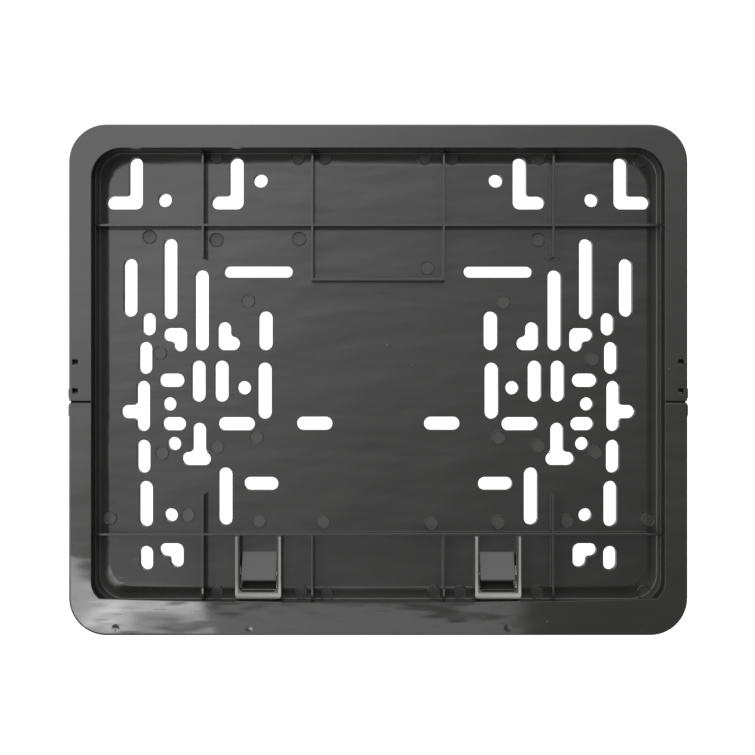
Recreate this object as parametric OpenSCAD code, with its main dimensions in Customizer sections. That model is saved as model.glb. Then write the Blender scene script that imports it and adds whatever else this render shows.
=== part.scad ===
// Number plate holder for a two-line plate.
// As mounted: +Z up, front towards -Y, mounting face at y = 0.
// Most forms are drawn in the plane of the plate and given a depth,
// which is measured from the mounting face towards the front.

/* [Plate] */
// Width of the plate
plate_w = 250; // [220:1:300]
// Height of the plate
plate_h = 200; // [190:1:220]
// Gap between the plate's edge and the pocket all round
plate_gap = 1; // [0.5:0.1:2]
// Depth of the pocket, from the ledge to the lip
pocket_depth = 3.4; // [2:0.1:5]

/* [Rim] */
// Width of the rim at the sides
rim_side = 9.6; // [8.8:0.1:14]
// Width of the rim at the top
rim_top = 10.1; // [9:0.1:14]
// Width of the rim at the bottom, at mid-span
rim_bottom = 13.8; // [12:0.1:20]
// How far the bottom bar bows wider towards its ends
rim_bow = 2; // [0:0.1:3]
// How far the lip covers the plate's edge
lip_cover = 3.1; // [2:0.1:4]
// Thickness of the rim's front wall
rim_t = 1.8; // [1.4:0.1:2.2]
// Thickness of the outer skirt
skirt_t = 1.6; // [1.2:0.1:1.8]
// Gap from the mounting face to the back edge of the skirt
skirt_lift = 1; // [0.5:0.1:2]
// Outer corner radius
corner_r = 16; // [12:0.5:20]
// Radius of the window's top corners
window_r = 13; // [8:0.5:15]
// Radius of the window's bottom corners
window_low_r = 9; // [6:0.5:12]
// Rounding of the rim's outer front edge
edge_r = 0.8; // [0.4:0.1:1.5]

/* [Tray] */
// Thickness of the floor
floor_t = 3; // [2:0.1:3.4]
// Height of the ribs above the floor
rib_h = 5.8; // [5:0.1:8]
// Thickness of the ribs
rib_t = 1; // [0.8:0.1:1.4]
// Width of the ledge that the plate's edge seats on
ledge_w = 3.7; // [3:0.1:5]
// Thickness of the tray's walls
wall_t = 1.8; // [1.2:0.1:2]
// Corner radius of the tray's floor
tray_r = 11; // [8:0.5:14]
// Fillet between the floor and the walls
fillet_r = 0.5; // [0.4:0.1:2]
// Height of the long horizontal ribs above and below the middle
long_rib_z = 67; // [64:1:70]
// Height of the short horizontal rib above the middle
short_rib_z = 43.4; // [40:0.2:43.4]
// Distance of the inner upright ribs from the middle
inner_rib_x = 28.5; // [26:0.5:31]
// Distance of the outer upright ribs from the middle
outer_rib_x = 76; // [75:0.5:77]
// Lower end of the outer upright ribs at the top
outer_rib_end = 53; // [50:0.5:60]
// Upper end of the outer upright ribs at the bottom, below the middle
outer_rib_start = 49.7; // [45:0.5:55]

/* [Fixing holes] */
// Diameter of the large round holes
hole_d = 6; // [5:0.1:7]
// Diameter of the small round holes
small_hole_d = 5.8; // [4.5:0.1:6]
// Width of the slots
slot_w = 6; // [5:0.1:6.4]
// Width of the narrow slots
narrow_w = 5.8; // [4.5:0.1:6]
// Rounding of the inner corners of bent slots
slot_round = 1.6; // [0.5:0.1:2]

/* [Seam and snap] */
// Height of the seam below the middle
seam_z = 9.6; // [8:0.1:12]
// Width of the seam
seam_gap = 1; // [0.6:0.1:1.6]
// Clearance between the two mouldings
fit_gap = 0.3; // [0.2:0.05:0.4]
// Side of the small square windows in the rim
snap_w = 2.4; // [2:0.1:2.6]
// Height of the upper window above the middle
snap_high_z = 7.6; // [6:0.1:10]
// Height of the lower window below the middle
snap_low_z = 4.8; // [4:0.1:5.5]
// Thickness of the guide tongues
tongue_t = 2.4; // [1.2:0.1:2.4]
// Height of the swelling on the outer edge at the seam
swell_h = 0.5; // [0.2:0.1:1]
// Length of the swelling on each side of the seam
swell_l = 6; // [4:0.5:8]
// Depth of the nick in the outer edge at the seam
nick = 0.7; // [0.3:0.1:1]
// Height of the nubs in the windows
nub_h = 0.9; // [0.6:0.1:1.2]

/* [Latch] */
// Distance of each latch pocket from the middle
latch_x = 52; // [50:0.5:54]
// Width of a latch pocket
latch_w = 20; // [18:0.5:22]
// Thickness of the pocket's collar
collar_t = 2; // [1.4:0.1:2.1]
// Height of the collar's lower wall
collar_low = 3.1; // [2.6:0.1:3.5]
// Gap between the collar and the tray's lower wall
collar_gap = 1.2; // [0.8:0.1:1.6]
// Height of the gap between the spring tongue and the collar
release_gap = 4.4; // [4:0.1:6]
// Length of the sloping part of the spring tongue
spring_l = 12; // [10:0.5:14]
// Rise of the spring tongue at its free end
spring_rise = 4.5; // [3:0.1:5]
// Thickness of the spring tongue
spring_t = 1.4; // [1:0.1:1.6]
// Thickness of the latch hook
hook_t = 1.5; // [1:0.1:1.6]
// Width of the latch hook
hook_w = 15; // [12:0.5:15]
// Height of the hook's barb
barb_h = 1.1; // [0.6:0.1:1.2]

/* [Back] */
// Thickness of the webs in the hollow rim
web_t = 1.2; // [0.8:0.1:1.6]
// Spacing of the webs along the sides and the top
web_pitch = 26; // [22:1:32]
// Spacing of the webs along the bottom bar
bar_web_pitch = 30; // [26:1:34]
// Height of the lowest web of the sides above the middle
web_low_z = 18; // [16:1:22]

/* [Hidden] */
$fn = 64;
eps = 0.01;

// Half sizes of the plate's pocket, whose middle is the middle of the plate
pocket_x = plate_w / 2 + plate_gap;
pocket_z = plate_h / 2 + plate_gap;
// The middle of the plate lies above the middle of the holder, because the bottom bar is wider
window_x = pocket_x - lip_cover;
// The lip covers a little more of the plate's upper and lower edges than of its sides
more_cover = 0.4;
window_h = 2 * (pocket_z - lip_cover - more_cover);
body_x = window_x + rim_side;
body_h = window_h + rim_top + rim_bottom;
body_z = body_h / 2;
window_top = body_z - rim_top;
window_low = -body_z + rim_bottom;
plate_z = (window_top + window_low) / 2;
// The tray's inner walls
tray_x = pocket_x - ledge_w;
less_ledge_top = 0.3;
less_ledge_low = 0.7;
tray_top = plate_z + pocket_z - ledge_w + less_ledge_top;
tray_low = plate_z - pocket_z + ledge_w - less_ledge_low;
pocket_low_r = window_low_r + 3;
pocket_high_r = window_r + 2;
// Depths from the mounting face
rib_d = floor_t + rib_h;
lip_d = rib_d + pocket_depth;
body_d = lip_d + rim_t;
// The hollow between the pocket's wall and the skirt
hollow_in = pocket_x + wall_t;
hollow_out = body_x - skirt_t;
seam_low = -seam_z - seam_gap / 2;
seam_high = -seam_z + seam_gap / 2;
// The latch: its collar, its spring tongue and the hook that it holds
collar_r = 1.6;
collar_cut = 1.3;
collar_foot = tray_low + collar_gap;
collar_top = collar_foot + collar_low;
spring_end = collar_top + release_gap;
spring_root = spring_end + spring_l;
spring_gap = 0.4;
hook_d = floor_t + 1;
hook_catch = collar_top + fit_gap;
hook_front = hook_d + hook_t + barb_h;
hook_low = 1;
// The parts inside the hollow rim
snap_x = hollow_out - snap_w / 2;
nub_gap = 0.2;
tongue_foot = 8;
tongue_h = 3.4;
bar_rib_h = 3;
rim_strip = 5;
tie_in = 0.2;
swell_in = 0.5;
swell_cut = 1;
beyond = 5;
plastic = "#2b2c2d";

// Turns a form drawn on its back, with its depth as height, to stand upright
module stand() {
    rotate([90, 0, 0]) children();
}

// A layer of the plane of the plate, from one depth to another
module layer(from, to) {
    stand() translate([0, 0, from]) linear_extrude(to - from) children();
}

// Carries a section round a rectangle with round corners.
// The section is drawn as [distance from the corner's middle, depth].
module carry_round(half_w, low, high, r) {
    run_x = half_w - r;
    mid = (low + high) / 2;
    run_z = (high - low) / 2 - r;
    stand() translate([0, mid, 0]) {
        for (turn = [0, 180]) rotate(turn) {
            translate([run_x, run_z, 0]) rotate([90, 0, 0]) linear_extrude(2 * run_z) children();
            rotate(90) translate([run_z, run_x, 0]) rotate([90, 0, 0]) linear_extrude(2 * run_x) children();
            translate([run_x, run_z, 0]) rotate_extrude(angle = 90) children();
            translate([run_x, -run_z, 0]) rotate(-90) rotate_extrude(angle = 90) children();
        }
    }
}

// Both halves of a form that is drawn on the right
module both_sides() {
    children();
    mirror([1, 0]) children();
}

// A rectangle with its own top and bottom corner radii, made of circles and squares
module panel(half_w, low, high, r_low, r_high) {
    for (s = [-1, 1]) {
        translate([s * (half_w - r_low), low + r_low]) circle(r_low);
        translate([s * (half_w - r_high), high - r_high]) circle(r_high);
    }
    translate([-half_w, low + r_low]) square([2 * half_w, high - low - r_low - r_high]);
    translate([-half_w + r_low, low]) square([2 * (half_w - r_low), r_low + eps]);
    translate([-half_w + r_high, high - r_high - eps]) square([2 * (half_w - r_high), r_high + eps]);
}

// The holder's outline, drawn in by some distance
module outline(inset = 0) {
    r = corner_r - inset;
    panel(body_x - inset, -body_z + inset, body_z - inset, r, r);
}

// The window, grown by some distance. Its lower edge bows down along a wide arc.
module window(grow = 0) {
    bow_r = (window_x * window_x + rim_bow * rim_bow) / (2 * max(rim_bow, 0.01));
    intersection() {
        panel(window_x + grow, window_low - grow, window_top + grow,
            window_low_r + grow, window_r + grow);
        translate([0, window_low - grow + bow_r]) circle(bow_r, $fn = 720);
    }
}

// The plate's pocket and the tray, as outlines grown by some distance
module pocket(grow = 0) {
    panel(pocket_x + grow, plate_z - pocket_z - grow, plate_z + pocket_z + grow,
        pocket_low_r + grow, pocket_high_r + grow);
}

module tray(grow = 0) {
    panel(tray_x + grow, tray_low - grow, tray_top + grow, tray_r + grow, tray_r + grow);
}

// Everything above or below a height
module above(z) {
    translate([-body_x - beyond, z]) square([2 * (body_x + beyond), 2 * body_z]);
}

// A form drawn from the side, as [-depth, height], and carried across from one x to another
module across(from, to) {
    translate([from, 0, 0]) rotate([90, 0, 90]) linear_extrude(to - from) children();
}

// A solid and its mirror image on the left
module in_pair() {
    children();
    mirror([1, 0, 0]) children();
}

// Slots by their middle and their length from end to end
module slot_up(x, z, length, w = slot_w) {
    run_of_slot([x, z - (length - w) / 2], [x, z + (length - w) / 2], w);
}

module slot_across(x, z, length, w = narrow_w) {
    run_of_slot([x - (length - w) / 2, z], [x + (length - w) / 2, z], w);
}

// A slot that turns a corner, by its three points, with the inner corner rounded
module slot_bent(a, b, c, w) {
    run_of_slot(a, b, w);
    run_of_slot(b, c, w);
    inner_round(b, [sign(a[0] - b[0] + c[0] - b[0]), sign(a[1] - b[1] + c[1] - b[1])], w, w);
}

// A stub that leaves a slot sideways, with both inner corners rounded
module slot_stub(from, to, w, slot_half) {
    side = sign(to[0] - from[0]) == 0 ? [0, sign(to[1] - from[1])] : [sign(to[0] - from[0]), 0];
    run_of_slot(from, to, w);
    for (s = [-1, 1]) {
        way = side[0] == 0 ? [s, side[1]] : [side[0], s];
        inner_round(from, way, side[0] == 0 ? w : 2 * slot_half, side[0] == 0 ? 2 * slot_half : w);
    }
}

// Fills the inner corner of two crossing slots with a round
module inner_round(middle, way, wide, high) {
    translate([middle[0] + way[0] * wide / 2, middle[1] + way[1] * high / 2]) difference() {
        translate([way[0] > 0 ? -eps : -slot_round + eps, way[1] > 0 ? -eps : -slot_round + eps])
            square(slot_round);
        translate([way[0] * slot_round, way[1] * slot_round]) circle(slot_round);
    }
}

// A straight run with round ends, level or upright, between two points
module run_of_slot(a, b, w) {
    low = [min(a[0], b[0]), min(a[1], b[1])];
    span = [abs(a[0] - b[0]), abs(a[1] - b[1])];
    across = span[0] > span[1] ? [0, w / 2] : [w / 2, 0];
    for (p = [a, b]) translate(p) circle(w / 2);
    translate(low - across) square(span + 2 * across);
}

module hole(x, z, d) {
    translate([x, z]) circle(d / 2);
}

// The round holes of one side: where screws of the commonest spacings go
module round_holes() {
    hole(51.5, 87.3, hole_d);
    hole(93.5, 78.8, hole_d);
    hole(58.7, -3.5, small_hole_d);
    hole(91.4, -10.6, small_hole_d);
    hole(89.3, -28, small_hole_d);
    hole(90.75, -59.3, small_hole_d);
}

module upright_slots() {
    slot_up(91.1, 44.3, 35.2);
    slot_up(108.6, 40.4, 25.4);
    slot_up(77.3, 30.5, 35.2);
    slot_up(100.5, 24.4, 9.8, narrow_w);
    slot_up(49.3, 21.5, 17);
    slot_up(102, 9.6, 14, narrow_w);
    slot_up(78.7, -0.6, 18);
    slot_up(68.6, -0.6, 18);
    slot_up(49.7, -4.8, 24.6);
    slot_up(102.8, -33.6, 14.5, narrow_w);
    slot_up(66.9, -51.1, 25.2);
    slot_up(101.8, -54.4, 20);
    slot_up(101.6, -78.2, 10.5, narrow_w);
}

module level_slots() {
    slot_across(52.5, 47.3, 30, 5);
    slot_across(90.5, -0.2, 11);
    slot_across(89.4, -19.3, 10.2);
    slot_across(62.1, -19.3, 16);
    slot_across(27.9, -19.1, 15.6);
    slot_across(51.3, -45.5, 15);
}

module bent_slots() {
    slot_bent([106.2, 94.4], [106.2, 77.7], [116, 77.7], slot_w);
    slot_bent([62, 94.4], [62, 77.7], [69.9, 77.7], slot_w);
    slot_bent([67.4, 22.4], [67.4, 15.9], [63.6, 15.9], narrow_w);
    slot_bent([91.3, 19.8], [86.7, 19.8], [86.7, 15.4], narrow_w);
    slot_bent([92.9, -74.6], [88.2, -74.6], [88.2, -79.4], narrow_w);
    slot_up(103, -11.5, 22, narrow_w);
    slot_stub([103, -14], [109.8, -14], narrow_w, narrow_w / 2);
    slot_across(79.7, -34.6, 12.6);
    slot_stub([78.4, -34.6], [78.4, -21.8], narrow_w, narrow_w / 2);
}

// The rib lattice on the tray's floor
module upright_ribs() {
    translate([outer_rib_x - rib_t / 2, outer_rib_end]) square([rib_t, tray_top - outer_rib_end]);
    translate([inner_rib_x - rib_t / 2, short_rib_z]) square([rib_t, tray_top - short_rib_z]);
    translate([outer_rib_x - rib_t / 2, tray_low]) square([rib_t, -outer_rib_start - tray_low]);
    translate([inner_rib_x - rib_t / 2, tray_low]) square([rib_t, -long_rib_z - tray_low]);
}

module level_rib(z, half_w) {
    translate([-half_w, z - rib_t / 2]) square([2 * half_w, rib_t]);
}

module lattice() {
    both_sides() upright_ribs();
    level_rib(long_rib_z, tray_x + wall_t / 2);
    level_rib(-long_rib_z, tray_x + wall_t / 2);
    level_rib(short_rib_z, inner_rib_x + rib_t / 2);
}

// A latch pocket's outline, with round lower corners, and its hollow, with cut ones
module latch_outline() {
    left = latch_x - latch_w / 2;
    inner = latch_w - 2 * collar_r;
    translate([left, collar_foot + collar_r])
        square([latch_w, -long_rib_z - collar_foot - collar_r]);
    translate([left + collar_r, collar_foot]) square([inner, collar_r + eps]);
    for (x = [0, inner]) translate([left + collar_r + x, collar_foot + collar_r]) circle(collar_r);
}

module latch_hollow() {
    half = latch_w / 2 - collar_t;
    translate([latch_x, 0]) polygon([
        [-half, -long_rib_z - rib_t / 2], [half, -long_rib_z - rib_t / 2],
        [half, collar_top + collar_cut], [half - collar_cut, collar_top],
        [-half + collar_cut, collar_top], [-half, collar_top + collar_cut]]);
}

// The spring tongue, which slopes forward to its free end
module spring_tongue() {
    half = latch_w / 2 - collar_t - spring_gap;
    front = floor_t + spring_rise;
    across(latch_x - half, latch_x + half) polygon([
        [-floor_t + eps, spring_root], [-front, spring_end + spring_t / 2], [-front, spring_end],
        [-front + spring_t, spring_end],
        [-floor_t + eps, spring_root - spring_l * spring_t / spring_rise]]);
}

// The way for a latch hook: under the collar, then through the floor below the tongue
module hook_way() {
    half = hook_w / 2 + fit_gap;
    across(latch_x - half, latch_x + half) polygon([
        [-hook_low + fit_gap, tray_low - 2 * wall_t], [-hook_d - hook_t - fit_gap, tray_low - 2 * wall_t],
        [-hook_d - hook_t - fit_gap, collar_top], [-hook_front - fit_gap, collar_top],
        [-hook_front - fit_gap, collar_top + collar_cut], [-floor_t - eps, collar_top + collar_cut],
        [-floor_t - eps, spring_root - spring_l / 2], [eps, spring_root - spring_l / 2],
        [eps, collar_top], [-hook_low + fit_gap, collar_top]]);
}

// Webs that brace the hollow of the rim, drawn on the right or at the top
module side_webs() {
    for (z = [web_low_z:web_pitch:window_top - window_r]) {
        translate([hollow_in - eps, z - web_t / 2]) square([hollow_out - hollow_in + 2 * eps, web_t]);
    }
}

module top_webs() {
    low = plate_z + pocket_z + wall_t - eps;
    count = floor((window_x - corner_r) / web_pitch);
    for (i = [-count:count]) {
        translate([i * web_pitch - web_t / 2, low]) square([web_t, body_z - skirt_t + eps - low]);
    }
}

// The rim's outer part in section: skirt, rounded edge and a strip of the front wall
module rim_section() {
    polygon(concat(
        [[corner_r - skirt_t, skirt_lift], [corner_r, skirt_lift]],
        [for (a = [0:15:90]) [corner_r - edge_r * (1 - cos(a)), body_d - edge_r * (1 - sin(a))]],
        [[corner_r - rim_strip, body_d], [corner_r - rim_strip, lip_d], [corner_r - skirt_t, lip_d]]));
}

// The rim's front wall and skirt, for both mouldings
module rim_shell() {
    carry_round(body_x, -body_z, body_z, corner_r) rim_section();
    layer(lip_d, body_d) difference() {
        outline(rim_strip);
        window();
    }
    // A band inside the front wall ties the runs and the corners to it
    layer(lip_d + tie_in, body_d - tie_in) difference() {
        outline(edge_r + tie_in);
        outline(rim_strip + tie_in);
    }
}

// The fillet where the tray's floor meets its walls
module floor_fillet() {
    carry_round(tray_x, tray_low, tray_top, tray_r) difference() {
        translate([tray_r - fillet_r, floor_t - eps]) square([fillet_r + eps, fillet_r + eps]);
        translate([tray_r - fillet_r, floor_t + fillet_r]) circle(fillet_r);
    }
}

// The swelling on the outer edge beside the seam, from one height to another
module swelling(low, high) {
    out = body_x + swell_h;
    in_pair() layer(skirt_lift, body_d - edge_r - swell_in) polygon([
        [body_x - swell_in, low], [body_x, low], [out, low + swell_cut], [out, high - swell_cut],
        [body_x, high], [body_x - swell_in, high]]);
}

// All that lies above or below the seam, from one side. The seam slopes back behind
// the front wall, so that no light comes through it.
module above_seam() {
    across(-body_x - beyond, body_x + beyond) polygon([
        [-body_d - eps, seam_high - eps], [-lip_d, seam_high + rim_t], [0, seam_high + rim_t],
        [0, body_z + beyond], [-body_d - eps, body_z + beyond]]);
}

module below_seam() {
    across(-body_x - beyond, body_x + beyond) polygon([
        [-body_d - eps, seam_low - eps], [-lip_d, seam_low + rim_t], [0, seam_low + rim_t],
        [0, -body_z - beyond], [-body_d - eps, -body_z - beyond]]);
}

// First moulding: tray, walls and the upper half of the rim
module base() {
    color(plastic) difference() {
        union() {
            layer(0, floor_t) tray(wall_t);
            layer(0, rib_d) difference() {
                tray(wall_t);
                tray();
            }
            layer(rib_d - wall_t, rib_d) difference() {
                pocket(wall_t);
                tray();
            }
            layer(rib_d - wall_t, lip_d - fit_gap) difference() {
                pocket(wall_t);
                pocket();
            }
            layer(rib_d, lip_d + eps) intersection() {
                above(seam_high + rim_t);
                difference() {
                    pocket(wall_t);
                    pocket();
                }
            }
            intersection() {
                union() {
                    rim_shell();
                    swelling(seam_high, seam_high + swell_l);
                }
                above_seam();
            }
            layer(rib_d - wall_t, lip_d + eps) top_webs();
            layer(rib_d - wall_t, lip_d + eps) both_sides() side_webs();
            floor_fillet();
            layer(floor_t - eps, rib_d) difference() {
                lattice();
                both_sides() latch_hollow();
            }
            layer(floor_t - eps, rib_d) both_sides() difference() {
                latch_outline();
                latch_hollow();
            }
        }
        layer(-1, floor_t + 1) both_sides() round_holes();
        layer(-1, floor_t + 1) both_sides() upright_slots();
        layer(-1, floor_t + 1) both_sides() level_slots();
        layer(-1, floor_t + 1) both_sides() bent_slots();
        in_pair() hook_way();
        layer(lip_d - 1, body_d + 1) both_sides() snap_windows();
    }
    color(plastic) in_pair() spring_tongue();
}

// The small square windows in the rim
module snap_windows() {
    for (z = [snap_high_z, -snap_low_z]) {
        translate([snap_x - snap_w / 2, z - snap_w / 2]) square(snap_w);
    }
}

// The sloping nubs that catch in the windows
module snap_nubs() {
    half = snap_w / 2 - nub_gap;
    for (z = [snap_high_z, -snap_low_z]) {
        across(snap_x - half, snap_x + half) polygon([
            [-lip_d + 1, z - half], [-lip_d - nub_h, z - half], [-lip_d + fit_gap, z + half],
            [-lip_d + 1, z + half]]);
    }
}

// A guide tongue that slides up inside the hollow of the upper rim
module guide_tongue() {
    translate([hollow_out - fit_gap - tongue_t, seam_low - tongue_foot])
        square([tongue_t, snap_high_z + snap_w - seam_low + tongue_foot]);
}

// A latch hook that passes under the collar and catches on its inner face.
// Behind the barb it slopes down through the floor, under the spring tongue.
module latch_hook() {
    root = -body_z + skirt_t - eps;
    slope = hook_front - hook_low;
    across(latch_x - hook_w / 2, latch_x + hook_w / 2) polygon([
        [-hook_d, root], [-hook_d, hook_catch + 1], [-hook_low, hook_catch + slope - hook_t],
        [-hook_low, hook_catch + slope], [-hook_front, hook_catch], [-hook_d - hook_t, hook_catch],
        [-hook_d - hook_t, root]]);
}

// Webs that brace the bottom bar between its inner rib and the skirt
module bar_webs() {
    high = plate_z - pocket_z - wall_t - fit_gap;
    count = floor((window_x - corner_r) / bar_web_pitch);
    for (i = [-count:count]) {
        translate([i * bar_web_pitch - web_t / 2, -body_z + skirt_t - eps])
            square([web_t, high + body_z - skirt_t]);
    }
}

// The lower rim with its inner rib and the feet of its tongues, before the seam is cut
module lower_rim() {
    rim_shell();
    swelling(seam_low - swell_l, seam_low);
    layer(lip_d - bar_rib_h, lip_d + eps) difference() {
        pocket(wall_t + fit_gap + rib_t);
        pocket(wall_t + fit_gap);
        above(seam_low);
    }
    layer(lip_d - tongue_h, lip_d + eps) both_sides() difference() {
        guide_tongue();
        above(seam_low);
    }
}

// Second moulding: the lower half of the rim with its tongues and hooks
module lower_frame() {
    color(plastic) {
        difference() {
            intersection() {
                lower_rim();
                below_seam();
            }
            in_pair() layer(-beyond, body_d + beyond) translate([body_x - nick, seam_low])
                square([nick + beyond, 2 * rim_t]);
        }
        layer(lip_d - tongue_h, lip_d - fit_gap) both_sides() guide_tongue();
        in_pair() snap_nubs();
        layer(lip_d - bar_rib_h, lip_d + eps) bar_webs();
        in_pair() latch_hook();
    }
}

base();
lower_frame();
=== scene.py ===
# %% [markdown]
# # A number plate holder, dressed in Blender
#
# The holder is two black mouldings: a slotted tray with the upper half of the
# rim, and a U-shaped lower frame that snaps on at two seams. The exact solids
# come from the CAD frame and keep their shape. This lesson gives them the look
# of injection-moulded ABS, adds the small marks that a mould leaves, and sets
# up the light and the camera of a product photograph.

# %% Load the frame
import math

import bpy
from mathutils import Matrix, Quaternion, Vector


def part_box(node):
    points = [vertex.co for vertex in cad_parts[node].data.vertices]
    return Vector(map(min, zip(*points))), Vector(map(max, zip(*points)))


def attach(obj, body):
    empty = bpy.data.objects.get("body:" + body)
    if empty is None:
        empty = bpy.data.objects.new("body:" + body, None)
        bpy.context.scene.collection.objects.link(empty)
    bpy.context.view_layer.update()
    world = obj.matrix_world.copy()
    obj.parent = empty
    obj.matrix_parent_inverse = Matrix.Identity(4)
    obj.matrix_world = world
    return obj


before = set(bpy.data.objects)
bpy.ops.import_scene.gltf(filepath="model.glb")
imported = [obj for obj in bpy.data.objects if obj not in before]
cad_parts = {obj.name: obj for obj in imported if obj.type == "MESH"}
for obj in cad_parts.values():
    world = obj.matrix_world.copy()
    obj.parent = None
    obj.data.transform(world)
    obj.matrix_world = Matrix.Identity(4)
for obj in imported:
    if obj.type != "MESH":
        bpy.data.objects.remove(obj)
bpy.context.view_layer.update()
print("CAD nodes:", sorted(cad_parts))

# %% [markdown]
# ## Sizes that the looks depend on
#
# Everything that is added sits on the CAD solids, so the sizes come from them.
# The front faces towards -Y, and depths are measured from the mounting face.

# %% Sizes
MM = 0.001
FRONT_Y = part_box("base")[0].y
LOW_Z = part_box("lower_frame")[0].z
FLOOR_Y = -3.0 * MM            # front of the tray's floor
print("front face at", round(FRONT_Y / MM, 2), "mm, lower edge at", round(LOW_Z / MM, 2), "mm")


# %% [markdown]
# ## Helpers for materials
#
# Colours are written as sRGB hex values, as a paint chart gives them, and one
# function turns them to the linear values that the shader works in. One small
# function adds a node with its settings and its links. A node that is given as
# an input stands for its first output.

# %% Colour and node helpers
MATH = "ShaderNodeMath"
VECTOR = "ShaderNodeVectorMath"
RANGE = "ShaderNodeMapRange"
NOISE = "ShaderNodeTexNoise"
MIX = "ShaderNodeMix"
BUMP = "ShaderNodeBump"
AXES = "ShaderNodeSeparateXYZ"


def linear(hex_code):
    """Linear RGBA of an sRGB hex colour."""
    values = [int(hex_code[i:i + 2], 16) / 255 for i in (1, 3, 5)]
    return [v / 12.92 if v <= 0.04045 else ((v + 0.055) / 1.055) ** 2.4 for v in values] + [1.0]


def in_metres(values):
    """Millimetre values as metres."""
    return [value * MM for value in values]


def add_node(tree, kind, settings=None, **inputs):
    """Adds a node, sets its properties, and sets or links its inputs."""
    node = tree.nodes.new(kind)
    for name, value in (settings or {}).items():
        setattr(node, name, value)
    for name, value in inputs.items():
        socket = node.inputs[int(name[1:])] if name[1:].isdigit() else node.inputs[name.replace("_", " ")]
        if isinstance(value, bpy.types.Node):
            value = value.outputs[0]
        if isinstance(value, bpy.types.NodeSocket):
            tree.links.new(value, socket)
        else:
            socket.default_value = value
    return node


def new_material(name):
    """An empty node material and its output node."""
    material = bpy.data.materials.new(name)
    material.use_nodes = True
    material.node_tree.nodes.clear()
    output = material.node_tree.nodes.new("ShaderNodeOutputMaterial")
    return material, material.node_tree, output


print("black pigment, linear:", [round(v, 4) for v in linear("#20211f")[:3]])

# %% [markdown]
# ## Sink along the tray's walls
#
# A thick moulding shrinks as it cools, and its walls draw the floor in beside
# them. The floor then mirrors the wall there, which the photograph shows as a
# dark strip with round corners. The dip is too shallow to model, so the material
# makes it with a bump. The same share, across the strip and on over the walls,
# makes them duller, from their drag along the mould, and paints them paler as
# painted light for how brightly the walls are lit.

# %% Share and height of the sink
TRAY_HALF_MM = (123.2, 97.8)    # half width and half height to the foot of the walls
TRAY_MIDDLE_Z_MM = 1.65
SINK_CORNER_MM = 16.0           # radius of the strip's outer corners
SINK_W_MM = 5.6
SINK_MM = 0.5


def edge_share(tree, place):
    """Nought on the tray's floor, rising to one across a strip along its walls and beyond."""
    corner_x, corner_z = [half - SINK_CORNER_MM for half in TRAY_HALF_MM]
    middle = in_metres((0.0, 0.0, TRAY_MIDDLE_Z_MM))
    centred = add_node(tree, VECTOR, {"operation": "SUBTRACT"}, _0=place, _1=middle)
    flat = add_node(tree, VECTOR, {"operation": "MULTIPLY"}, _0=centred, _1=(1.0, 0.0, 1.0))
    quarter = add_node(tree, VECTOR, {"operation": "ABSOLUTE"}, _0=flat)
    corner = in_metres((corner_x, 0.0, corner_z))
    past = add_node(tree, VECTOR, {"operation": "SUBTRACT"}, _0=quarter, _1=corner)
    outside = add_node(tree, VECTOR, {"operation": "MAXIMUM"}, _0=past, _1=(0.0, 0.0, 0.0))
    distance = add_node(tree, VECTOR, {"operation": "LENGTH"}, _0=outside).outputs["Value"]
    return add_node(tree, RANGE, Value=distance,
                    From_Min=(SINK_CORNER_MM - SINK_W_MM) * MM, From_Max=SINK_CORNER_MM * MM)


def sink_height(tree, place):
    """Height of the floor, which falls away along a strip beside the tray's walls."""
    return add_node(tree, MATH, {"operation": "MULTIPLY"}, _0=edge_share(tree, place), _1=-SINK_MM * MM)


print("sink strip:", SINK_W_MM, "mm wide,", SINK_MM, "mm deep")

# %% [markdown]
# ## Lean and sink marks of the lower bar
#
# The lower bar curves back a little towards its lower edge, and so it mirrors
# lamps that stand low on the left. Two small round sink marks lie near the lower
# edge on each half of it, where something behind the wall holds the plastic
# warm for longer.

# %% Height of the lower bar
LEAN_FROM_MM = -66.0
LEAN_TO_MM = -110.0
LEAN_MM = 1.4
SPOT_PLACES_MM = ((112.4, 106.3), (55.5, 106.3))      # to the side and down from the middle
SPOT_R_MM = 1.7
SPOT_MM = 0.12


def lean_height(tree, place):
    """Height of the lower bar, which curves away towards its lower edge and dips at its sink marks."""
    height = add_node(tree, AXES, Vector=place).outputs["Z"]
    share = add_node(tree, RANGE, Value=height, From_Min=LEAN_TO_MM * MM, From_Max=LEAN_FROM_MM * MM,
                     To_Min=1.0, To_Max=0.0)
    curve = add_node(tree, MATH, {"operation": "POWER"}, _0=share, _1=2.0)
    total = add_node(tree, MATH, {"operation": "MULTIPLY"}, _0=curve, _1=-LEAN_MM * MM)
    quarter = add_node(tree, VECTOR, {"operation": "ABSOLUTE"}, _0=place)
    for x, z in SPOT_PLACES_MM:
        offset = add_node(tree, VECTOR, {"operation": "SUBTRACT"}, _0=quarter, _1=in_metres((x, 0.0, z)))
        flat = add_node(tree, VECTOR, {"operation": "MULTIPLY"}, _0=offset, _1=(1.0, 0.0, 1.0))
        distance = add_node(tree, VECTOR, {"operation": "LENGTH"}, _0=flat).outputs["Value"]
        dip = add_node(tree, RANGE, Value=distance, From_Max=SPOT_R_MM * MM, To_Min=-SPOT_MM * MM, To_Max=0.0)
        total = add_node(tree, MATH, {"operation": "ADD"}, _0=total, _1=dip)
    return total


print("sink marks on the lower bar:", 2 * len(SPOT_PLACES_MM))
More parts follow.
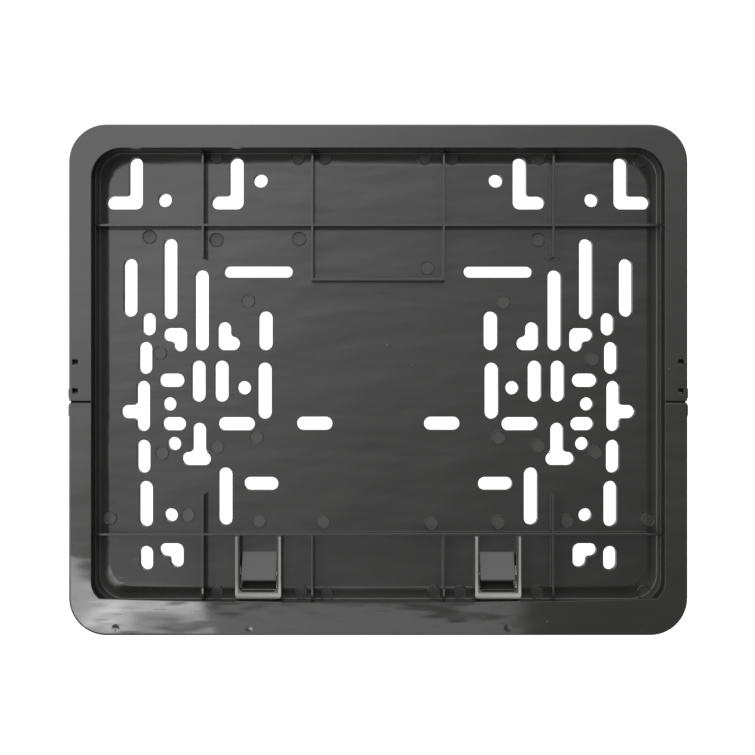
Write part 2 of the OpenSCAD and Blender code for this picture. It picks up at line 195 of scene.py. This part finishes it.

# %% [markdown]
# ## Painted highlight on the latch collars
#
# The fronts of the two collars round the latches catch the light. That is painted
# on as a pale line, strongest along the foot and fainter up the sides. A mask in
# the material draws that painted highlight where it lies on the real part.

# %% Mask of the painted highlight
COLLAR_MIDDLE_MM = (52.0, 8.6, 81.4)      # to the side, towards the front and down from the middle
COLLAR_HALF_MM = (10.3, 0.9, 13.6)
COLLAR_EDGE_MM = COLLAR_MIDDLE_MM[2] + COLLAR_HALF_MM[2]
COLLAR_SOFT_MM = 0.1
COLLAR_FOOT_Z_MM = -93.0
COLLAR_SIDE_Z_MM = -87.0
HIGHLIGHT_INSET_MM = 0.95                          # the painted highlight lies this far inside the collar's edge
HIGHLIGHT_CORE = 0.3                         # share of that distance over which the line keeps its strength
FOOT_FADE = 1.1                           # share of it at which the line ends, along the foot
SIDE_FADE = 0.75                          # and up the sides
FOOT_WIDER = 1.6                          # how much wider and further in the line is along the foot
SIDE_SHARE = 0.6                          # strength up the sides
LEFT_SHARE = 0.75                         # strength of the left collar's line


def collar_highlight_mask(tree, place):
    """A painted highlight round the fronts of the two latch collars, strongest at the foot."""
    quarter = add_node(tree, VECTOR, {"operation": "ABSOLUTE"}, _0=place)
    offset = add_node(tree, VECTOR, {"operation": "SUBTRACT"}, _0=quarter, _1=in_metres(COLLAR_MIDDLE_MM))
    offset = add_node(tree, VECTOR, {"operation": "ABSOLUTE"}, _0=offset)
    inside = add_node(tree, VECTOR, {"operation": "SUBTRACT"}, _0=in_metres(COLLAR_HALF_MM), _1=offset)
    sides = add_node(tree, AXES, Vector=inside).outputs
    within = add_node(tree, MATH, {"operation": "MINIMUM"}, _0=sides["Y"], _1=sides["Z"])
    front = add_node(tree, RANGE, Value=within, From_Max=COLLAR_SOFT_MM * MM)
    down = add_node(tree, AXES, Vector=quarter).outputs["Z"]
    foot = add_node(tree, MATH, {"operation": "SUBTRACT"}, _0=COLLAR_EDGE_MM * MM, _1=down)
    foot = add_node(tree, MATH, {"operation": "DIVIDE"}, _0=foot, _1=FOOT_WIDER)
    least = add_node(tree, MATH, {"operation": "MINIMUM"}, _0=sides["X"], _1=foot)
    off_line = add_node(tree, MATH, {"operation": "SUBTRACT"}, _0=least, _1=HIGHLIGHT_INSET_MM * MM)
    away = add_node(tree, MATH, {"operation": "ABSOLUTE"}, _0=off_line)
    spot = add_node(tree, AXES, Vector=place).outputs
    reach = add_node(tree, RANGE, Value=spot["Z"], From_Min=COLLAR_FOOT_Z_MM * MM,
                     From_Max=COLLAR_SIDE_Z_MM * MM, To_Min=FOOT_FADE * HIGHLIGHT_INSET_MM * MM,
                     To_Max=SIDE_FADE * HIGHLIGHT_INSET_MM * MM)
    line = add_node(tree, RANGE, Value=away, From_Min=HIGHLIGHT_CORE * HIGHLIGHT_INSET_MM * MM, From_Max=reach,
                    To_Min=front, To_Max=0.0)
    lower = add_node(tree, RANGE, Value=spot["Z"], From_Min=COLLAR_FOOT_Z_MM * MM,
                     From_Max=COLLAR_SIDE_Z_MM * MM, To_Min=1.0, To_Max=SIDE_SHARE)
    right = add_node(tree, RANGE, Value=spot["X"], From_Min=-COLLAR_MIDDLE_MM[0] * MM,
                     From_Max=COLLAR_MIDDLE_MM[0] * MM, To_Min=LEFT_SHARE, To_Max=1.0)
    strength = add_node(tree, MATH, {"operation": "MULTIPLY"}, _0=lower, _1=right)
    return add_node(tree, MATH, {"operation": "MULTIPLY"}, _0=line, _1=strength)


print("collar fronts reach", COLLAR_MIDDLE_MM[1] + COLLAR_HALF_MM[1], "mm from the mounting face")

# %% [markdown]
# ## Surface of the moulded ABS
#
# Both mouldings are black ABS from a polished mould. It is half glossy, so it
# looks grey where it mirrors the bright room and nearly black where it mirrors
# its own walls. A fine orange peel, low waves and dimples from cooling and short
# scratches bend what it mirrors, as layers of bump from the coarse to the fine.

# %% Bumps of the moulded surface
PEEL_MM = 1.6        # orange peel is near 0.5 mm, drawn coarser so that it shows
PEEL_H_MM = 0.004
SCRATCH_MM = 9.0     # length of a handling scratch
SCRATCH_H_MM = 0.02
SCRATCH_TURN = 0.6   # how far the scratches are turned, in radians
SCRATCH_THIN = 14.0  # how many times longer than wide they are
SCRATCH_PEAKS = (0.70, 0.76)    # only the highest peaks of their noise become scratches
WAVE_MM = 45.0       # length of the low waves that cooling leaves in a wall
DIMPLE_MM = 17.0     # size of the dimples between them
DIMPLE_SHARE = 0.45  # their height, as a share of the waves'
FLOOR_DIMPLES = 2.6  # the thin floor has dimples this many times as high as the rim's


def surface_normal(tree, place, wave_mm, edge_mm, shape):
    """Normal with softened edges, the piece's own dips, waves, dimples, peel and scratches."""
    normal = add_node(tree, "ShaderNodeBevel", {"samples": 6}, Radius=edge_mm * MM)
    if shape:
        normal = add_node(tree, BUMP, Strength=1.0, Distance=1.0, Height=shape(tree, place), Normal=normal)
    wave = add_node(tree, NOISE, Vector=place, Scale=1000 / WAVE_MM, Detail=1.0, Roughness=0.4)
    normal = add_node(tree, BUMP, Strength=1.0, Distance=wave_mm * MM, Height=wave, Normal=normal)
    level_way = add_node(tree, "ShaderNodeMapping", Vector=place, Scale=(0.4, 1.0, 1.3))
    dimple = add_node(tree, NOISE, Vector=level_way, Scale=1000 / DIMPLE_MM, Detail=2.0, Roughness=0.5)
    depth = add_node(tree, AXES, Vector=place).outputs["Y"]
    floor_share = add_node(tree, RANGE, Value=depth, From_Min=FRONT_Y, From_Max=FLOOR_Y,
                           To_Min=1.0, To_Max=FLOOR_DIMPLES)
    dimples = add_node(tree, MATH, {"operation": "MULTIPLY"}, _0=dimple, _1=floor_share)
    dimple_mm = DIMPLE_SHARE * wave_mm
    normal = add_node(tree, BUMP, Strength=1.0, Distance=dimple_mm * MM, Height=dimples, Normal=normal)
    peel = add_node(tree, NOISE, Vector=place, Scale=1000 / PEEL_MM, Detail=2.0, Roughness=0.5)
    normal = add_node(tree, BUMP, Strength=1.0, Distance=PEEL_H_MM * MM, Height=peel, Normal=normal)
    long_way = add_node(tree, "ShaderNodeMapping", Vector=place, Rotation=(0.0, SCRATCH_TURN, 0.0),
                        Scale=(1.0, 1.0, SCRATCH_THIN))
    scratch = add_node(tree, NOISE, Vector=long_way, Scale=1000 / SCRATCH_MM, Detail=1.0, Roughness=0.4)
    scratches = add_node(tree, RANGE, Value=scratch, From_Min=SCRATCH_PEAKS[0], From_Max=SCRATCH_PEAKS[1])
    return add_node(tree, BUMP, {"invert": True}, Strength=0.3, Distance=SCRATCH_H_MM * MM,
                    Height=scratches, Normal=normal)


print("bump layers from", WAVE_MM, "mm waves to", PEEL_MM, "mm peel")

# %% [markdown]
# ## Moulded ABS
#
# The pigment is painted a shade darker towards the tray's floor, as painted shade
# in the tray's hollow. Broad flow patches vary the gloss, and a few specks of dust
# lie on it. The tray's walls are duller than its floor and painted paler, as painted
# light for how they are lit, and the tray's material also has the painted highlight
# on the collars. ABS has an IOR of about 1.54.

# %% Material for the mouldings
FLOW_MM = 55.0                  # size of the broad flow patches
DUST_MM = 14.0                  # spacing of the dust specks
DUST_EDGE = (0.015, 0.025)      # where a speck's core and its edge lie, as shares of that spacing
DUST_STRENGTH = 0.2
DUST_COLOUR = "#9a9a96"
GLOSS_SPREAD = (-0.02, 0.05)    # how far the flow patches change the roughness
HIGHLIGHT_PATCHES = (0.72, 1.0)    # how far they change the painted highlight on the collars
HIGHLIGHT_COLOUR = "#a2a2a0"       # painted highlight: pale grey of the collars' lit fronts
HIGHLIGHT_ROUGHNESS = 0.42
LIT_WALL_COLOUR = "#2b2c2a"         # painted light: walls painted paler than the floor, for how they are lit
WALL_ROUGHNESS = 0.36
ABS_COLOUR = "#20211f"
# painted shade: the tray's floor colour is darker than the rim's, for the shade deep in the tray
FLOOR_SHADE_COLOUR = "#1d1e1c"
ABS_IOR = 1.54


def moulded_abs(name, colour, deep, roughness, wave_mm, edge_mm, shape=None, dull_and_lit_walls=False, mask=None):
    """Black moulded ABS: dark pigment with painted shade deeper in, half gloss, softened edges; optionally
    paler painted light on the walls and a painted highlight from a mask.
    """
    material, tree, output = new_material(name)
    place = add_node(tree, "ShaderNodeTexCoord").outputs["Object"]
    depth = add_node(tree, AXES, Vector=place).outputs["Y"]
    inward = add_node(tree, RANGE, Value=depth, From_Min=FRONT_Y, From_Max=FLOOR_Y)
    specks = add_node(tree, "ShaderNodeTexVoronoi", {"feature": "F1"}, Vector=place, Scale=1000 / DUST_MM)
    dust = add_node(tree, RANGE, Value=specks, From_Min=DUST_EDGE[0], From_Max=DUST_EDGE[1],
                    To_Min=DUST_STRENGTH, To_Max=0.0)
    # painted shade: the colour darkens from the front face towards the tray's floor
    pigment = add_node(tree, MIX, {"data_type": "RGBA"}, _0=inward, _6=linear(colour), _7=linear(deep))
    tint = add_node(tree, MIX, {"data_type": "RGBA"}, _0=dust, _6=pigment.outputs[2], _7=linear(DUST_COLOUR))
    flow = add_node(tree, NOISE, Vector=place, Scale=1000 / FLOW_MM, Detail=3.0, Roughness=0.55)
    gloss = add_node(tree, RANGE, Value=flow, From_Min=0.3, From_Max=0.7,
                     To_Min=roughness + GLOSS_SPREAD[0], To_Max=roughness + GLOSS_SPREAD[1])
    if dull_and_lit_walls:
        # painted light: the walls and the sink strip are painted paler for how they are lit, and made duller
        rough_and_lit_share = add_node(tree, MATH, {"operation": "MULTIPLY"}, _0=edge_share(tree, place), _1=inward)
        tint = add_node(tree, MIX, {"data_type": "RGBA"}, _0=rough_and_lit_share, _6=tint.outputs[2],
                        _7=linear(LIT_WALL_COLOUR))
        gloss = add_node(tree, MIX, {"data_type": "FLOAT"}, _0=rough_and_lit_share, _2=gloss, _3=WALL_ROUGHNESS)
    if mask:
        patchy = add_node(tree, RANGE, Value=flow, From_Min=0.35, From_Max=0.6,
                          To_Min=HIGHLIGHT_PATCHES[0], To_Max=HIGHLIGHT_PATCHES[1])
        # painted highlight: a pale line where the collars' fronts catch the light
        painted_highlight = add_node(tree, MATH, {"operation": "MULTIPLY"}, _0=mask(tree, place), _1=patchy)
        tint = add_node(tree, MIX, {"data_type": "RGBA"}, _0=painted_highlight, _6=tint.outputs[2],
                        _7=linear(HIGHLIGHT_COLOUR))
        gloss = add_node(tree, MIX, {"data_type": "FLOAT"}, _0=painted_highlight, _2=gloss, _3=HIGHLIGHT_ROUGHNESS)
    shader = add_node(tree, "ShaderNodeBsdfPrincipled", Base_Color=tint.outputs[2], Roughness=gloss,
                      Normal=surface_normal(tree, place, wave_mm, edge_mm, shape), IOR=ABS_IOR)
    tree.links.new(shader.outputs["BSDF"], output.inputs["Surface"])
    return material


tray_abs = moulded_abs("black_abs_tray", ABS_COLOUR, FLOOR_SHADE_COLOUR, roughness=0.11, wave_mm=0.35,
                       edge_mm=0.4, shape=sink_height, dull_and_lit_walls=True, mask=collar_highlight_mask)
rim_abs = moulded_abs("black_abs_lower_frame", ABS_COLOUR, ABS_COLOUR, roughness=0.09, wave_mm=0.9,
                      edge_mm=0.3, shape=lean_height)
for node_name, material in (("base", tray_abs), ("lower_frame", rim_abs)):
    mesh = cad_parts[node_name].data
    mesh.materials.clear()
    mesh.materials.append(material)
print("dressed", len(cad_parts), "mouldings in ABS")

# %% [markdown]
# ## Ejector pin marks
#
# Pins push the moulding out of its mould, and each leaves a faint disc about
# 6 mm across on the floor, with a low lip round it. The lip starts as a cylinder
# that stands half in the floor: both ends are inset and bridged, which leaves a
# ring, and a bevel rounds it. The disc is a flatter cylinder with a shallow dip.

# %% One ejector mark
RING_R = 2.9 * MM
RING_W = 0.5 * MM
RING_H = 0.34 * MM
DISC_H = 0.03 * MM
DISC_EDGE = 0.5 * MM
DISC_DIP = 0.012 * MM


def deselect_all():
    bpy.ops.object.select_all(action="DESELECT")


def low_cylinder(name, radius, height):
    """A cylinder that stands half in the tray's floor and faces -Y."""
    deselect_all()
    bpy.ops.mesh.primitive_cylinder_add(
        vertices=40, radius=radius, depth=2 * height, location=(0, FLOOR_Y, 0), rotation=(math.pi / 2, 0, 0))
    piece = bpy.context.object
    piece.name = name
    return piece


def select_ends(piece, both):
    """Selects the front end of a cylinder, or both its ends, and stays in edit mode."""
    bpy.ops.object.mode_set(mode="EDIT")
    bpy.ops.mesh.select_mode(type="FACE")
    bpy.ops.mesh.select_all(action="DESELECT")
    bpy.ops.object.mode_set(mode="OBJECT")
    for face in piece.data.polygons:
        face.select = face.normal.z > 0.9 or (both and face.normal.z < -0.9)
    bpy.ops.object.mode_set(mode="EDIT")


def rounded(piece, width):
    """Leaves edit mode with the normals outwards, and rounds the piece's sharp edges."""
    bpy.ops.mesh.select_all(action="SELECT")
    bpy.ops.mesh.normals_make_consistent(inside=False)
    bpy.ops.object.mode_set(mode="OBJECT")
    bevel = piece.modifiers.new("bevel", "BEVEL")
    bevel.limit_method = "ANGLE"
    bevel.angle_limit = math.radians(50)
    bevel.width = width
    bevel.segments = 3
    bpy.ops.object.modifier_apply(modifier=bevel.name)


lip = low_cylinder("ejector_lip", RING_R + RING_W / 2, RING_H)
select_ends(lip, both=True)
bpy.ops.mesh.inset(thickness=RING_W)
bpy.ops.mesh.bridge_edge_loops()
rounded(lip, 0.45 * RING_W)
disc = low_cylinder("ejector_disc", RING_R, DISC_H)
select_ends(disc, both=False)
bpy.ops.mesh.inset(thickness=DISC_EDGE)
bpy.ops.transform.translate(value=(0, DISC_DIP, 0))
rounded(disc, 0.5 * DISC_H)
print("one lip:", len(lip.data.polygons), "faces, one disc:", len(disc.data.polygons), "faces")

# %% [markdown]
# ## Marks across the floor
#
# The photograph shows the marks where the pins stood: beside the ribs, round the
# slots and along the edges. Each place is read from it in pixels, and the size
# of a pixel at the floor turns it to a place on the part. The marks are copies
# of the one mark, joined to one piece of lips and one of discs.

# %% Copies at every pin
FLOOR_SCALE = 0.4385 * MM      # size of one pixel of the photograph at the floor
MIDDLE_PX = (378.2, 379.8)     # where the holder's middle lies in the photograph
RING_PX = [
    (298, 158), (325, 158), (424, 158), (452, 158), (539, 158), (216, 157), (640, 161), (149.5, 237),
    (216.5, 240), (299, 239), (538, 240), (427, 268), (248, 301), (503, 302), (160, 353), (592, 359),
    (162, 453), (217, 447), (256.5, 437), (498, 437.5), (538, 446), (595, 452), (188, 515), (259, 521),
    (323, 522), (431, 523), (498, 522), (567, 521), (110, 518), (648, 520),
    (217, 592), (301, 592), (327, 594), (434, 592), (460, 592), (537, 592), (644, 592),
]


def copies_at_pins(pattern):
    """Copies of a piece at every pin, each with its own mesh; the pattern piece is used up."""
    copies = []
    for px, py in RING_PX:
        deselect_all()
        pattern.select_set(True)
        bpy.context.view_layer.objects.active = pattern
        bpy.ops.object.duplicate(linked=False)
        x = (px - MIDDLE_PX[0]) * FLOOR_SCALE
        z = (MIDDLE_PX[1] - py) * FLOOR_SCALE
        bpy.ops.transform.translate(value=(x, 0, z))
        copies.append(bpy.context.object)
    bpy.data.objects.remove(pattern)
    return copies


def joined(pieces, name, material):
    """Joins pieces into one object that rides on the holder."""
    deselect_all()
    for piece in pieces:
        piece.select_set(True)
    bpy.context.view_layer.objects.active = pieces[0]
    bpy.ops.object.join()
    whole = bpy.context.object
    whole.name = name
    bpy.ops.object.transform_apply(location=True, rotation=True, scale=True)
    whole.data.materials.append(material)
    bpy.ops.object.shade_smooth_by_angle(angle=math.radians(35))
    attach(whole, "root")
    return whole


# A pin's end is ground, not polished, so its disc is duller than the floor
DULL_COLOUR = "#272826"
dull_abs = moulded_abs("black_abs_ejector_disc", DULL_COLOUR, DULL_COLOUR, roughness=0.38, wave_mm=0.25,
                       edge_mm=0.02, shape=sink_height)
lips = joined(copies_at_pins(lip), "ejector_lips", tray_abs)
discs = joined(copies_at_pins(disc), "ejector_discs", dull_abs)
print("ejector marks:", len(RING_PX), "faces:", len(lips.data.polygons) + len(discs.data.polygons))

# %% [markdown]
# ## Floor, backdrop and light
#
# The photograph is a product shot on pure white, which also shows through every
# slot. The floor and the backdrop are grey paper that only the camera sees as
# white, so the slots' own walls stay dark. A large soft light lies to the left
# and above: its brightness falls off evenly towards the lower right, and the
# glossy mouldings mirror that fall-off. Small lamps low on the left are mirrored
# in the lower bar, and a weak one behind gives the slots' right-hand walls a
# grey edge.

# %% Stage
def white_sheet(name, glow):
    """Grey paper that the camera sees as white, with the shadow kept."""
    material, tree, output = new_material(name)
    path = add_node(tree, "ShaderNodeLightPath")
    lift = add_node(tree, MATH, {"operation": "MULTIPLY"}, _0=path.outputs["Is Camera Ray"], _1=glow)
    paper = add_node(tree, "ShaderNodeBsdfDiffuse", Color=linear("#7c7c7c"))
    light = add_node(tree, "ShaderNodeEmission", Color=linear("#ffffff"), Strength=lift.outputs["Value"])
    both = add_node(tree, "ShaderNodeAddShader", _0=paper.outputs["BSDF"], _1=light.outputs["Emission"])
    tree.links.new(both.outputs["Shader"], output.inputs["Surface"])
    return material


SHEET_SIZE = 8.0
FLOOR_Z = LOW_Z - 0.35         # the floor lies well below the holder, out of the picture
FLOOR_FRONT_Y = -0.2           # it starts behind the lamps, so that the rim doesn't mirror it
BACKDROP_Y = 0.9
paper = white_sheet("grey_paper", 1.0)
deselect_all()
bpy.ops.mesh.primitive_plane_add(size=SHEET_SIZE, location=(0, FLOOR_FRONT_Y + SHEET_SIZE / 2, FLOOR_Z))
ground = bpy.context.object
ground.name = "studio_floor"
bpy.ops.mesh.primitive_plane_add(size=SHEET_SIZE, location=(0, BACKDROP_Y, 0), rotation=(math.pi / 2, 0, 0))
backdrop = bpy.context.object
backdrop.name = "studio_backdrop"
for sheet in (ground, backdrop):
    sheet.data.materials.append(paper)


# %% Lamps and world
def soft_box(name, place, target, width, height, power, turn=0.0):
    """An area lamp that faces a point, turned about its own axis by some degrees."""
    data = bpy.data.lights.new(name, "AREA")
    data.shape = "RECTANGLE"
    data.size = width
    data.size_y = height
    data.energy = power
    lamp = bpy.data.objects.new(name, data)
    bpy.context.scene.collection.objects.link(lamp)
    lamp.location = place
    aim = (Vector(target) - Vector(place)).to_track_quat("-Z", "Y")
    lamp.rotation_euler = (aim @ Quaternion((0, 0, 1), math.radians(turn))).to_euler()
    lamp.visible_camera = False


LAMP_Y = -0.27                 # the low lamps stand this far in front of the mounting face
soft_box("low_left", (-0.148, LAMP_Y, -0.188), (-0.09, FRONT_Y, -0.10),
         width=0.070, height=0.036, power=0.031, turn=8)
soft_box("low_edge", (-0.157, LAMP_Y, -0.176), (-0.09, FRONT_Y, -0.10),
         width=0.082, height=0.016, power=0.025, turn=5)
soft_box("low_corner", (-0.202, LAMP_Y, -0.173), (-0.13, FRONT_Y, -0.09),
         width=0.035, height=0.090, power=0.052, turn=28)
soft_box("low_middle", (-0.02, LAMP_Y, -0.22), (-0.01, FRONT_Y, -0.10), width=0.24, height=0.08, power=0.085)
soft_box("rear_left", (-0.16, 0.6, -0.02), (0, 0, 0), width=0.32, height=0.5, power=0.25)

# The light grows towards the left and upwards: its strength is e to the power of
# the way's share of this slope, lifted a little and kept between two bounds
SKY_SLOPE = (-2.3, 0.0, 2.5)
SKY_LIFT = 0.1
SKY_LOW = -1.1
SKY_HIGH = 0.9
world = bpy.data.worlds.new("studio_world")
bpy.context.scene.world = world
world.use_nodes = True
tree = world.node_tree
sky = tree.nodes["Background"]
way = add_node(tree, "ShaderNodeTexCoord").outputs["Generated"]
lean = add_node(tree, VECTOR, {"operation": "DOT_PRODUCT"}, _0=way, _1=SKY_SLOPE).outputs["Value"]
raised = add_node(tree, MATH, {"operation": "ADD"}, _0=lean, _1=SKY_LIFT)
bound = add_node(tree, "ShaderNodeClamp", Value=raised, Min=SKY_LOW, Max=SKY_HIGH)
glow = add_node(tree, MATH, {"operation": "EXPONENT"}, _0=bound)
seen = add_node(tree, "ShaderNodeLightPath").outputs["Is Camera Ray"]
strength = add_node(tree, MIX, {"data_type": "FLOAT"}, _0=seen, _2=glow, _3=1.0)
sky.inputs["Color"].default_value = linear("#ffffff")
tree.links.new(strength.outputs[0], sky.inputs["Strength"])

# %% [markdown]
# ## Camera
#
# The photograph looks straight at the front from about 45 cm. That is close
# enough to see into the side walls, and it sets the field of view.

# %% Camera
PHOTO_PX = 755
RIM_SCALE = 0.428 * MM         # size of one pixel at the rim's front face
CAMERA_DISTANCE = 0.45
field = PHOTO_PX * RIM_SCALE
camera_data = bpy.data.cameras.new("camera")
camera_data.sensor_fit = "HORIZONTAL"
camera_data.angle = 2 * math.atan(field / 2 / CAMERA_DISTANCE)
camera = bpy.data.objects.new("camera", camera_data)
bpy.context.scene.collection.objects.link(camera)
camera.location = (-(MIDDLE_PX[0] - PHOTO_PX / 2) * RIM_SCALE, FRONT_Y - CAMERA_DISTANCE,
                   (MIDDLE_PX[1] - PHOTO_PX / 2) * RIM_SCALE)
camera.rotation_euler = (math.pi / 2, 0, 0)
bpy.context.scene.camera = camera
bpy.context.scene.view_settings.view_transform = "Standard"
print("field of view:", round(math.degrees(camera_data.angle), 1), "degrees")
